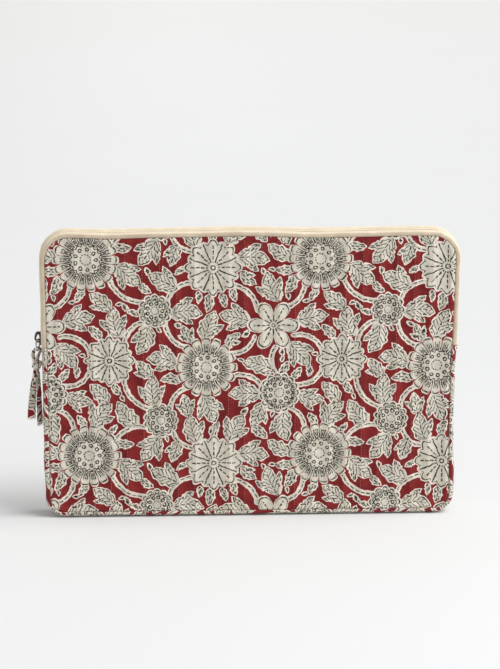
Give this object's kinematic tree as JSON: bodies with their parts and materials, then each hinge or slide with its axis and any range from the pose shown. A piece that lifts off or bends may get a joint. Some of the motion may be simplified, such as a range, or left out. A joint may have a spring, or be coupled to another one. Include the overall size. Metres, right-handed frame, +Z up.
{
  "type": "laptop sleeve",
  "caption": "Padded quilted cloth sleeve for a laptop, standing on its long edge, with a zip over the top and part of both sides and a knotted cloth pull.",
  "frame": {"origin": "centre of the flat base that the sleeve stands on", "axes": "+X along the width, to the right seen from the front; +Y from the front to the back; +Z up, towards the zip"},
  "size_m": [0.3915, 0.03, 0.265],
  "materials": {
    "printed_cotton": "block-printed, quilted",
    "wadding": "soft",
    "lining_cotton": "plain weave",
    "binding_cotton": "plain weave",
    "zip_tape": "canvas",
    "zip_row": "moulded coil",
    "zip_metal": "dark plated",
    "ring_metal": "polished"
  },
  "bodies": {
    "sleeve": {"back_cover": "printed_cotton", "back_lining": "lining_cotton", "back_padding": "wadding", "binding_back": "binding_cotton", "binding_front_lower": "binding_cotton", "front_cover_lower": "printed_cotton", "front_lining_lower": "lining_cotton", "front_padding_lower": "wadding", "front_panel_fold": "printed_cotton", "gusset_cover": "printed_cotton", "gusset_lining": "lining_cotton", "gusset_padding": "wadding", "zip_end_tabs": "binding_cotton", "zip_row_back": "zip_row", "zip_row_front_ends": "zip_row", "zip_row_front_fold": "zip_row", "zip_stop_left": "zip_metal", "zip_stop_right": "zip_metal", "zip_tape_back": "zip_tape", "zip_tape_front_ends": "zip_tape", "zip_tape_front_fold": "zip_tape"},
    "front_flap": {"front_cover_upper": "printed_cotton", "front_padding_upper": "wadding", "front_lining_upper": "lining_cotton", "binding_front_upper": "binding_cotton", "zip_tape_front": "zip_tape", "zip_row_front": "zip_row"},
    "zip_slider": {"zip_slider": "zip_metal", "zip_slider_bail": "zip_metal"},
    "pull_ring": {"zip_pull_ring": "ring_metal"},
    "fabric_pull": {"pull_strip": "printed_cotton", "pull_knot": "printed_cotton"}
  },
  "joints": [
    {"name": "mouth_open", "type": "hinge", "parent": "sleeve", "child": "front_flap", "pos_m": [0, -0.0129, 0.179], "axis": [1, 0, 0], "range_deg": [0, 60], "deforming": ["front_panel_fold", "zip_tape_front_fold", "zip_row_front_fold"]},
    {"name": "zip_slide", "type": "slide", "parent": "sleeve", "child": "zip_slider", "axis": [0, 0, 1], "range_m": [0, 0.06]},
    {"name": "ring_turn", "type": "hinge", "parent": "zip_slider", "child": "pull_ring", "pos_m": [-0.1942, 0, 0.1653], "axis": [0, 1, 0], "range_deg": [0, 120]},
    {"name": "pull_swing", "type": "hinge", "parent": "pull_ring", "child": "fabric_pull", "pos_m": [-0.1942, 0, 0.1558], "axis": [0, 1, 0], "range_deg": [0, 55]}
  ]
}
